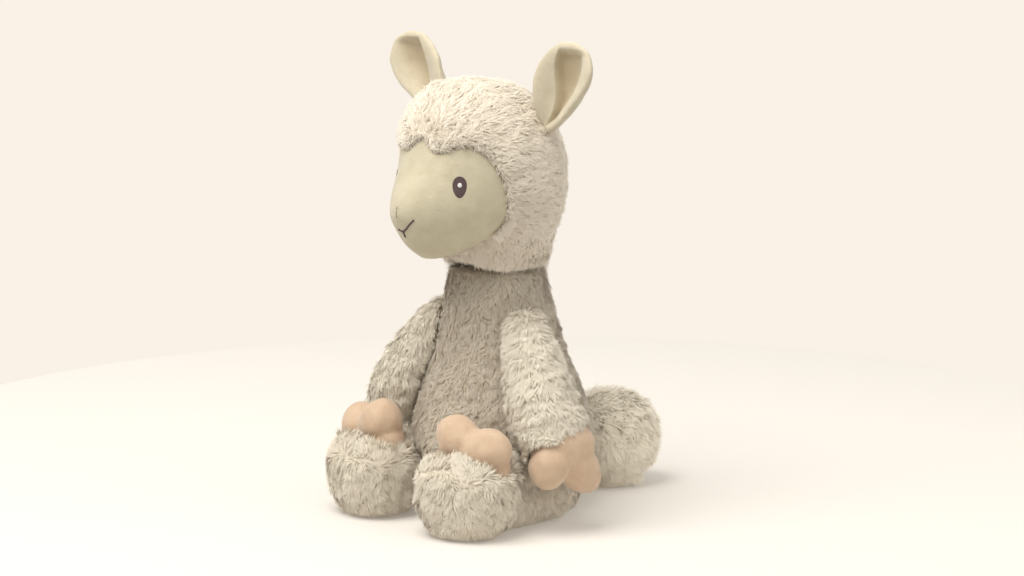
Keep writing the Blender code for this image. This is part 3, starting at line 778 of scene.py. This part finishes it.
# %% [markdown]
# ## Body
#
# The body is one tall bag of fur cloth, flat underneath, and drawn in at the neck by the ring seam under
# the hood's hem. Its solid has that form already, so it gets a skin as the face did, with larger cells.
# Its pile is shorter than the hood's and brushed straight down.

# %% The body
BODY_CELL = 0.0028
BODY_SINK = 0.0024
BODY_RELIEF = 0.0009
BODY_BLADES = 74000
BODY_PILE = 0.0055
BODY_LIFT = (22, 5)


def above_floor(places, normals):
    """No pile grows on the flat underside."""
    return 1.0 - (normals[:, 2] < -0.85) * (places[:, 2] < 0.006)


body = make_skin("body", "body_skin", BODY_CELL, 8, BODY_SINK)
soften(body, BODY_RELIEF, 24)
dress(body, "body", body_backing)
roots, normals = scatter(body, BODY_BLADES, above_floor, 21)
flow = np.tile([0.0, 0.0, -1.0], (len(roots), 1))
body_pile = grow("body_pile", roots, normals, flow, BODY_PILE, BODY_LIFT, 22, (1, 1, 0.7), ruffle=30)
dress(body_pile, None, body_fur)

# %% [markdown]
# ## Limbs
#
# The arms and legs are loosely filled sleeves of fur cloth, each with a hoof let into its end. The pile
# is brushed down, shorter at the arm's cuff, and upward at the foot's rim, where the hoof comes out. Soft
# spots are pushed out where the filling gathers, and pressed in at the ankle and the wrist. Both limbs of
# a pair are made the same way from their own solids, because a mirrored copy would repeat every tuft.

# %% Measures of the arms and legs
LIMB_SINK = 0.0028
ARM_BLADES = 40000
ARM_LIFT = (23, 7)
LEG_BLADES = 46000
LEG_LIFT = (24, 7)
CUFF_TOP = 0.045
CUFF_END = 0.020
CUFF_TRIM = 0.002
RIM_BAND = 0.014
RIM_WAVER = 0.004
LIMB_PILE = 0.0068
LIMB_RELIEF = 0.0010
CUFF_PUFF = 0.006
CUFF_PUFF_REACH = 0.020
CUFF_PUFF_PLACE = np.array([0.014, 0.018, 0.024])
WRIST_PINCH = 0.005
WRIST_REACH = 0.016
WRIST_PLACE = np.array([-0.004, -0.012, -0.002])
FOOT_RIM = 0.050
FOOT_PUFF = 0.0055
FOOT_PUFF_REACH = 0.030
FOOT_PUFF_PLACE = np.array([0.020, 0.012, -0.018])
ANKLE_PINCH = 0.009
ANKLE_REACH = 0.014
ANKLE_PLACE = np.array([0.028, 0.040, -0.022])
RIM_PILE = 0.002
ARM_HOOF_CLEARANCE = 0.9
FOOT_HOOF_CLEARANCE = 0.9


# %% Arms and legs
def foot_flow(places):
    """Up at the rim round the hoof, and down below it, with a wavy border between."""
    level = places[:, 2] + RIM_WAVER * clouds(places, SWAY_SIZE, 40)
    rise = smoothstep(FOOT_RIM - RIM_BAND, FOOT_RIM, level)[:, None]
    return np.array([0, 0.3, 1.0]) * rise + np.array([0, 0.3, -1.0]) * (1 - rise)


def clear_of_hoof(node, clearance):
    """Pile grows only where the hoof isn't in its way."""
    low, high = (np.array(corner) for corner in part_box(node))
    middle, half = (low + high) / 2, (high - low) / 2 * clearance

    def keep(places, normals):
        return above_floor(places, normals) * (np.linalg.norm((places - middle) / half, axis=1) > 1)

    return keep


for side, name in ((1, "left"), (-1, "right")):
    arm = make_skin(f"{name}_arm", f"{name}_arm_skin", LIMB_CELL, 10, LIMB_SINK)
    soften(arm, LIMB_RELIEF, 35 + side)
    hand = middle_of(f"{name}_arm_hoof")
    swell(arm, hand + CUFF_PUFF_PLACE * [side, 1, 1], CUFF_PUFF_REACH, CUFF_PUFF)
    swell(arm, hand + WRIST_PLACE * [side, 1, 1], WRIST_REACH, -WRIST_PINCH)
    dress(arm, f"{name}_arm", limb_backing)
    clear = clear_of_hoof(f"{name}_arm_hoof", ARM_HOOF_CLEARANCE)
    roots, normals = scatter(arm, ARM_BLADES, clear, 31 + side)
    low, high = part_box(f"{name}_arm")
    cuff = smoothstep(low[2] + CUFF_TOP, low[2] + CUFF_END, roots[:, 2])
    length = LIMB_PILE - CUFF_TRIM * cuff
    flow = np.tile([0.0, 0.1, -1.0], (len(roots), 1))
    pile = grow(f"{name}_arm_pile", roots, normals, flow, length, ARM_LIFT, 33 + side, (1, 1, 0.6))
    dress(pile, None, arm_fur)
    leg = make_skin(f"{name}_leg", f"{name}_leg_skin", LIMB_CELL, 10, LIMB_SINK)
    soften(leg, LIMB_RELIEF, 45 + side)
    foot = middle_of(f"{name}_leg_hoof")
    swell(leg, foot + FOOT_PUFF_PLACE * [side, 1, 1], FOOT_PUFF_REACH, FOOT_PUFF)
    swell(leg, foot + ANKLE_PLACE * [side, 1, 1], ANKLE_REACH, -ANKLE_PINCH)
    dress(leg, f"{name}_leg", limb_backing)
    clear = clear_of_hoof(f"{name}_leg_hoof", FOOT_HOOF_CLEARANCE)
    roots, normals = scatter(leg, LEG_BLADES, clear, 41 + side)
    flow = foot_flow(roots)
    length = LIMB_PILE + RIM_PILE * smoothstep(0.030, FOOT_RIM, roots[:, 2])
    pile = grow(f"{name}_leg_pile", roots, normals, flow, length, LEG_LIFT, 43 + side, ruffle=24)
    dress(pile, None, leg_fur)

# %% [markdown]
# ## Tail
#
# The tail is a stuffed ball with long, loose pile, so its skin sinks the most. The pile is brushed down
# and back, away from the body, and stands up more than elsewhere, which makes the ball look fluffy.

# %% The tail
TAIL_SINK = 0.0056
TAIL_BLADES = 34000
TAIL_PILE = 0.0105
TAIL_LIFT = (40, 15)

tail = make_skin("tail", "tail_skin", LIMB_CELL, 10, TAIL_SINK)
soften(tail, LIMB_RELIEF, 55)
dress(tail, "tail", limb_backing)
roots, normals = scatter(tail, TAIL_BLADES, above_floor, 51)
flow = np.tile([0.2, 0.5, -0.8], (len(roots), 1))
tail_pile = grow("tail_pile", roots, normals, flow, TAIL_PILE, TAIL_LIFT, 52, pull=0.12, ruffle=28)
dress(tail_pile, None, tail_fur)

# %% [markdown]
# ## Hooves
#
# A hoof is a small stuffed mitten of peach velour with two toes that part like a V. A notch cut in one
# ball would have a hard edge. So three soft balls, for the pad and the toes, are melted into one form by
# a voxel remesh and smoothed, and a crease stays between the toes. Each ball has its size, its middle and
# its lean in degrees. The result is then fitted to a named half size and put where its solid is.

# %% Measures of the hooves
FOOT_HOOF_HALF = (0.0285, 0.0165, 0.0245)
ARM_HOOF_HALF = (0.0262, 0.0165, 0.0255)
FOOT_BALLS = (
    ((0.80, 0.88, 0.76), (0.00, 0.00, -0.26), 0),
    ((0.46, 0.80, 0.66), (-0.32, 0.00, 0.30), -14),
    ((0.50, 0.84, 0.62), (0.30, -0.06, 0.22), 16),
)
ARM_BALLS = (
    ((0.66, 0.80, 0.80), (0.00, 0.00, -0.30), 0),
    ((0.42, 0.74, 0.70), (0.36, -0.16, 0.14), 6),
    ((0.50, 0.78, 0.95), (-0.22, 0.08, 0.14), -24),
)
HOOF_CELL = 0.05
HOOF_SMOOTHING = 4
DENT_HEIGHT = 0.0005
DENT_SIZE = 0.016


# %% Make a hoof
def new_ball(segments, rings):
    """A ball of radius 1, which every small stuffed or sewn piece starts from."""
    bpy.ops.object.select_all(action="DESELECT")
    bpy.ops.mesh.primitive_uv_sphere_add(segments=segments, ring_count=rings)
    return bpy.context.object


def degrees(angle, axis):
    """A turn round an axis."""
    return Matrix.Rotation(math.radians(angle), 4, axis)


def make_hoof(name, node, half, parts, side, turn, shift, seed):
    """A hoof in the place of its solid, with its tips up before it is turned."""
    balls = []
    for size, middle, lean in parts:
        ball = new_ball(48, 32)
        middle = Vector(middle) * Vector((side, 1, 1))
        shape = degrees(lean * side, "Y") @ Matrix.Diagonal((*size, 1))
        ball.data.transform(Matrix.Translation(middle) @ shape)
        balls.append(ball)
    for ball in balls:
        ball.select_set(True)
    bpy.ops.object.join()
    hoof = bpy.context.object
    hoof.name = name
    apply_modifier(hoof, "REMESH", mode="VOXEL", voxel_size=HOOF_CELL, adaptivity=0)
    apply_modifier(hoof, "SMOOTH", factor=0.5, iterations=HOOF_SMOOTHING)
    places, _ = points_of(hoof)
    low, high = places.min(axis=0), places.max(axis=0)
    places = (places - (low + high) / 2) / (high - low) * 2 * half
    places += unit(places) * (DENT_HEIGHT * clouds(places, DENT_SIZE, seed))[:, None]
    place = Matrix.Translation(Vector(middle_of(node)) + shift * Vector((side, 1, 1))) @ turn
    spin = np.array(place.to_3x3())
    move_points(hoof, places @ spin.T + np.array(place.translation))
    hoof.data.shade_smooth()
    dress(hoof, node, hoof_velour)
    print(name, len(hoof.data.polygons), "faces")


# %% The four hooves
ARM_HOOF_SHIFT = Vector((0, -0.001, 0.004))
FOOT_HOOF_SHIFT = Vector((0.0017, 0.0018, -0.0028))
HAND_TURN = 70
HAND_LEAN = -2
FOOT_SPLAY = 12
FOOT_ROLL = 7
FOOT_LEAN = 8

for side, name in ((1, "left"), (-1, "right")):
    toes, node = f"{name}_arm_toes", f"{name}_arm_hoof"
    turn = degrees(HAND_TURN * side, "Z") @ degrees(180 - HAND_LEAN * side, "Y")
    make_hoof(toes, node, ARM_HOOF_HALF, ARM_BALLS, side, turn, ARM_HOOF_SHIFT, 61 + side)
    toes, node = f"{name}_foot_toes", f"{name}_leg_hoof"
    turn = degrees(FOOT_SPLAY * side, "Z") @ degrees(FOOT_ROLL * side, "Y") @ degrees(FOOT_LEAN, "X")
    make_hoof(toes, node, FOOT_HOOF_HALF, FOOT_BALLS, side, turn, FOOT_HOOF_SHIFT, 64 + side)

# %% [markdown]
# ## Ears
#
# An ear is two layers of velour, turned and lightly stuffed at the rim, and curled round its length,
# tightly at the root. Inside is a bowl. Its outer side rises gently to a plump rim, and on the side
# toward the crown a wide band folds over it with a sharp crease. Solidify on a bent sheet would give an
# even rim, so a flattened sphere is bent into this form instead: its front and back halves are the two
# layers. The bowl is also kept as an attribute, for the painted shade that darkens the velour in it.

# %% Measures of the ears
EAR_LENGTH = 0.0655
EAR_WIDTH = 0.060
EAR_ROOT_WIDTH = 0.024
EAR_WIDEST_AT = 0.76
EAR_CURL_ROOT = 80
EAR_CURL_TIP = 26
EAR_BOW = 0.006
EAR_SWEEP = 0.031
EAR_TIP_FORWARD = 0.005
EAR_RIM = 0.0058
EAR_BACK = 0.0034
EAR_BOWL = 0.0070
EAR_ROUNDING = 4.5
BOWL_LOW = 0.10
BOWL_TOP = 0.93


# %% Ears
def bowl_of(across, share, width):
    """How deep each place lies in the bowl, from 0 to 1, by its way across and its share of the length.
    The crease and the outer slope part further up the ear."""
    crease = -0.10 - 0.32 * smoothstep(0.15, 0.75, share) + 0.12 * smoothstep(0.75, 0.95, share)
    slope = 0.16 + 0.30 * smoothstep(0.15, 0.8, share)
    inside = smoothstep(0, 0.0024, (across - crease) * width / 2)
    inside *= smoothstep(-0.009, 0.010, (slope - across) * width / 2)
    inside *= smoothstep(-0.001, 0.006, (BOWL_TOP - share) * EAR_LENGTH)
    return inside * smoothstep(0, 0.010, (share - BOWL_LOW) * EAR_LENGTH)


def make_ear(name, node, side):
    """An ear in the place of its solid, made for the left side and mirrored for the right one."""
    ear = new_ball(128, 80)
    ear.name = name
    places, _ = points_of(ear)
    across, front, along = places.T
    share = (along + 1) / 2
    opening = np.sin(math.pi / 2 * np.minimum(1, share / EAR_WIDEST_AT))
    width = EAR_ROOT_WIDTH + (EAR_WIDTH - EAR_ROOT_WIDTH) * opening
    curl = np.radians(EAR_CURL_ROOT + (EAR_CURL_TIP - EAR_CURL_ROOT) * share)
    radius = width / 2 / curl
    turn = curl * across
    rim = np.hypot(across, along)
    plump = np.sqrt(np.maximum(0, 1 - rim ** EAR_ROUNDING))
    inside = bowl_of(across, share, width)
    layer = np.where(front > 0, EAR_BACK * plump, -EAR_RIM * plump + EAR_BOWL * inside * plump)
    out = EAR_SWEEP * (1 - (1 - share) ** 2)
    back = EAR_BOW * np.sin(math.pi * share) - EAR_TIP_FORWARD * share
    x = out + radius * np.sin(turn) + np.sin(turn) * layer
    y = back - radius * (1 - np.cos(turn)) + np.cos(turn) * layer
    places = np.stack([x, y, EAR_LENGTH * share], axis=1)
    dents = DENT_HEIGHT * clouds(places, DENT_SIZE, 71 + side)
    places += unit(places - places.mean(axis=0)) * dents[:, None]
    low, high = (np.array(corner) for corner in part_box(node))
    if side < 0:
        low[0], high[0] = -high[0], -low[0]
    top, front_end = places.max(axis=0), places[:, 1].min()
    places += np.array([high[0] - top[0], low[1] - front_end, high[2] - top[2]])
    places[:, 0] *= side
    move_points(ear, places)
    if side < 0:
        select_only(ear)
        bpy.ops.object.mode_set(mode="EDIT")
        bpy.ops.mesh.select_all(action="SELECT")
        bpy.ops.mesh.flip_normals()
        bpy.ops.object.mode_set(mode="OBJECT")
    ear.data.shade_smooth()
    # How deep each place lies in the bowl, for the painted shade of the velour there.
    bowl = ear.data.attributes.new("bowl", "FLOAT", "POINT")
    bowl.data.foreach_set("value", (inside * (front < 0)).astype(np.float32))
    dress(ear, node, ear_velour)
    print(name, len(ear.data.polygons), "faces")


make_ear("left_ear_velour", "left_ear", 1)
make_ear("right_ear_velour", "right_ear", -1)

# %% [markdown]
# ## Eyes
#
# Each eye is an upright drop of dark satin stitch, narrower below, with a small white stitch for the
# light. A Shrinkwrap modifier would flatten its dome onto the velour. So each point is dropped on the
# velour by a ray and then lifted by its own height.

# %% Laying things on the velour
face_points = [vertex.co for vertex in face.data.vertices]
face_tree = BVHTree.FromPolygons(face_points, [polygon.vertices for polygon in face.data.polygons])


def lay(places, way, height):
    """Drop each place on the velour along a direction, and lift it off again by its height."""
    laid = []
    for place, rise in zip(places, height):
        hit, normal, _, _ = face_tree.ray_cast(Vector(place) - Vector(way) * 0.03, Vector(way))
        if hit is None:
            hit, normal, _, _ = face_tree.find_nearest(Vector(place))
        laid.append(hit + normal * rise)
    return np.array(laid)


# %% Eyes and their lights
EYE_NARROWING = 0.18
EYE_TURN = 44
EYE_HEIGHT = 0.0142
EYE_WIDTH = 0.0094
SATIN_HEIGHT = 0.0007
PATCH_SPOKES = 48
PATCH_RINGS = 28
LIGHT_WIDTH = 0.0032
LIGHT_HEIGHT = 0.0034
LIGHT_RISE = 1.7
PATCH_EDGE = 0.0004
PATCH_SINK = 0.0001
RIGHT_EYE_SHIFT = np.array([-0.0014, 0.0022, 0])


def drop_patch(name, middle, turn, width, height, narrowing, rise):
    """A domed patch of thread on the velour, with its edge just under the cloth."""
    patch = new_ball(PATCH_SPOKES, PATCH_RINGS)
    patch.name = name
    places, _ = points_of(patch)
    across, up, out = places.T
    edge = np.hypot(across, up)
    turn = math.radians(turn)
    side_way = np.array([math.cos(turn), math.sin(turn), 0])
    into = np.array([-math.sin(turn), math.cos(turn), 0])
    wide = across * width / 2 * (1 + narrowing * up)
    flat = middle + wide[:, None] * side_way + (up * height / 2)[:, None] * np.array([0, 0, 1])
    dome = rise * np.sqrt(np.maximum(0, 1 - edge ** 4))
    laid = lay(flat, into, np.where(out > 0, dome, -PATCH_EDGE) - PATCH_SINK)
    move_points(patch, laid)
    patch.data.shade_smooth()
    return patch


for side, name in ((1, "left"), (-1, "right")):
    shift = RIGHT_EYE_SHIFT * (side < 0)
    turn = EYE_TURN * side
    middle = middle_of(f"{name}_eye") + shift
    sizes = (EYE_WIDTH, EYE_HEIGHT, EYE_NARROWING, SATIN_HEIGHT)
    eye = drop_patch(f"{name}_eye_satin", middle, turn, *sizes)
    dress(eye, f"{name}_eye", dark_thread)
    middle = middle_of(f"{name}_eye_highlight") + shift
    sizes = (LIGHT_WIDTH, LIGHT_HEIGHT, 0, SATIN_HEIGHT * LIGHT_RISE)
    light = drop_patch(f"{name}_eye_light", middle, turn, *sizes)
    dress(light, f"{name}_eye_highlight", white_thread)
    print(name, "eye and its light at", np.round(middle, 3))

# %% [markdown]
# ## Mouth and nose
#
# The mouth is a row of small back stitches in dark thread: a long arm that curves up on the llama's left,
# a short one on its right and a stem. The nose is one thin light brown line. A bevelled curve would look
# like a wire, so every stitch is a stretched ball of its own, sunk a little in the velour.


# %% Stitches
STITCH_SINK = 0.35
STITCH_FLATNESS = 0.8


def stitches(name, path, normals, thickness, overlap, material, slot, node=None):
    """A row of stitches, one for every step of a path. overlap is how much longer than its step each
    stitch is, as a share, and less than 0 where the stitches stand apart."""
    made = []
    for first, second, normal in zip(path[:-1], path[1:], normals):
        run = Vector(second - first)
        up = Vector(normal)
        axes = Matrix((run.normalized(), up.cross(run).normalized(), up)).transposed().to_4x4()
        stitch = new_ball(8, 6)
        size = (run.length / 2 * (1 + overlap), thickness / 2, thickness / 2 * STITCH_FLATNESS, 1)
        middle = Vector(first + second) / 2 + up * thickness * (0.5 - STITCH_SINK)
        stitch.data.transform(Matrix.Translation(middle) @ axes @ Matrix.Diagonal(size))
        made.append(stitch)
    bpy.ops.object.select_all(action="DESELECT")
    for stitch in made:
        stitch.select_set(True)
    bpy.context.view_layer.objects.active = made[0]
    bpy.ops.object.join()
    row = bpy.context.object
    row.name = name
    row.data.shade_smooth()
    dress(row, node, material)
    print(name, len(made), "stitches")


def on_velour(flat):
    """Points given across and up, dropped straight back on the velour, and its normal at each."""
    laid, normals = [], []
    for across, up in flat:
        hit, normal, _, _ = face_tree.ray_cast(Vector((across, -0.2, up)), Vector((0, 1, 0)))
        laid.append(np.array(hit))
        normals.append(np.array(normal))
    return np.array(laid), normals


# %% The mouth
MOUTH_JOINT = middle_of("mouth")[2] - 0.0015
MOUTH_LONG = 0.0120
MOUTH_SHORT = 0.0050
MOUTH_RISE = 0.0090
MOUTH_SHORT_RISE = 0.0012
MOUTH_CURVE = 1.25
MOUTH_STEM = 0.0040
MOUTH_STITCH = 0.0022
MOUTH_THREAD = 0.0015


def arm_of_mouth(half_width, rise):
    """One arm of the mouth, as points across and up from its joint, a stitch apart."""
    count = round(math.hypot(half_width, rise) / MOUTH_STITCH)
    shares = np.linspace(0, 1, count + 1)
    return np.stack([half_width * shares, MOUTH_JOINT + rise * shares ** MOUTH_CURVE], axis=1)


stem = np.stack([np.zeros(3), MOUTH_JOINT - MOUTH_STEM * np.array([0, 0.5, 1])], axis=1)
rows = [arm_of_mouth(MOUTH_LONG, MOUTH_RISE), arm_of_mouth(-MOUTH_SHORT, MOUTH_SHORT_RISE), stem]
for number, row in enumerate(rows):
    name, node = f"mouth_row_{number + 1}", None if number else "mouth"
    stitches(name, *on_velour(row), MOUTH_THREAD, 0.12, dark_thread, "dark_thread", node)

# %% The nose
NOSE_STITCH = 0.0025
NOSE_THREAD_WIDTH = 0.0010

low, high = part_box("nose_stitch")
levels = np.linspace(high[2], low[2], round((high[2] - low[2]) / NOSE_STITCH) + 1)
path, normals = on_velour(np.stack([0 * levels, levels], axis=1))
stitches("nose_row", path, normals, NOSE_THREAD_WIDTH, 0.1, nose_thread, "nose_thread", "nose_stitch")

# %% [markdown]
# ## The stitches of the seam
#
# The seam between the velour and the fur is sewn by machine, and near by a dash of its thread shows here
# and there beside the fringe. So the same kind of stitch runs all round the seam, a millimetre inside the
# velour, thin and with a gap after each.

# %% The stitches of the seam
SEAM_STITCH_STEPS = 3
SEAM_THREAD_WIDTH = 0.0007
SEAM_INSET = 0.0010

ring = np.append(np.arange(0, len(seam), SEAM_STITCH_STEPS), 0)
path = lay(seam[ring] - seam_away[ring] * SEAM_INSET, [0, 1, 0], np.zeros(len(ring)))
stitches("seam_row", path, seam_out[ring], SEAM_THREAD_WIDTH, -0.45, seam_thread, "velour")

# %% [markdown]
# ## Table and wall
#
# The toy sits on a white table in front of a warm pale wall, and the table is almost pure white in the
# photo. More light would do that too, but would bleach the fur. So the table glows a little by itself and
# still takes the toy's shadow. It is a round disc, because its rim shows as the horizon. The wall is the
# world's colour as the camera, glossy and transmission rays see it. A weaker, whiter world lights the
# toy.

# %% Table
TABLE = (0.62, 0.60, 0.575)
TABLE_GLOW = (0.215, 0.195, 0.17)
TABLE_RADIUS = 0.512
TABLE_MIDDLE = (-0.1244, 0.1280, 0)

bpy.ops.object.select_all(action="DESELECT")
bpy.ops.mesh.primitive_circle_add(
    vertices=256, radius=TABLE_RADIUS, fill_type="NGON", location=TABLE_MIDDLE
)
floor = bpy.context.object
floor.name = "table_top"
table = Cloth("table_top", Roughness=0.9)
table.set("Base Color", TABLE)
table.set("Emission Color", TABLE_GLOW)
table.set("Emission Strength", 1.0)
floor.data.materials.append(table.material)
print("table", TABLE_RADIUS * 2, "m across")

# %% World
WALL = (0.955, 0.885, 0.80)
WORLD_LIGHT = (1.0, 0.97, 0.90)
WORLD_STRENGTH = 0.56

world = bpy.data.worlds.new("studio")
bpy.context.scene.world = world
world.use_nodes = True
tree = world.node_tree
background = tree.nodes["Background"]
background.inputs["Color"].default_value = (*WORLD_LIGHT, 1)
background.inputs["Strength"].default_value = WORLD_STRENGTH
seen = tree.nodes.new("ShaderNodeBackground")
seen.inputs["Color"].default_value = (*WALL, 1)
seen.inputs["Strength"].default_value = 1.0
path = tree.nodes.new("ShaderNodeLightPath")
switch = tree.nodes.new("ShaderNodeMixShader")
rays = path.outputs["Is Camera Ray"]
for other in ("Is Glossy Ray", "Is Transmission Ray"):
    either = tree.nodes.new("ShaderNodeMath")
    either.operation = "MAXIMUM"
    tree.links.new(rays, either.inputs[0])
    tree.links.new(path.outputs[other], either.inputs[1])
    rays = either.outputs[0]
tree.links.new(rays, switch.inputs[0])
tree.links.new(background.outputs[0], switch.inputs[1])
tree.links.new(seen.outputs[0], switch.inputs[2])
tree.links.new(switch.outputs[0], tree.nodes["World Output"].inputs["Surface"])
print("world light", WORLD_STRENGTH)

# %% [markdown]
# ## Lamps
#
# A large soft lamp high in front is the photo's main light: the brow and the tops of the feet are bright,
# and the side of the head and the lap lie in soft shade. A weak one behind the toy's left side lifts that
# side.


# %% Lamps
LAMP_COLOUR = (1.0, 0.975, 0.92)
LAMP_AIM = Vector((0, 0, 0.15))


def add_lamp(name, turn, rise, distance, size, power):
    """A soft lamp that looks at the llama, placed by its turn from the front and its rise in degrees."""
    turn, rise = math.radians(turn), math.radians(rise)
    way = Vector((math.sin(turn) * math.cos(rise), -math.cos(turn) * math.cos(rise), math.sin(rise)))
    bpy.ops.object.select_all(action="DESELECT")
    bpy.ops.object.light_add(type="AREA", location=LAMP_AIM + way * distance)
    lamp = bpy.context.object
    lamp.name = name
    lamp.rotation_euler = way.to_track_quat("Z", "Y").to_euler()
    lamp.data.size = size
    lamp.data.energy = power
    lamp.data.color = LAMP_COLOUR
    print(name, "lamp of", power, "W")


add_lamp("key", turn=0, rise=62, distance=1.8, size=1.4, power=38)
add_lamp("side_fill", turn=115, rise=35, distance=1.8, size=1.2, power=5)
bpy.context.scene.view_settings.view_transform = "Standard"
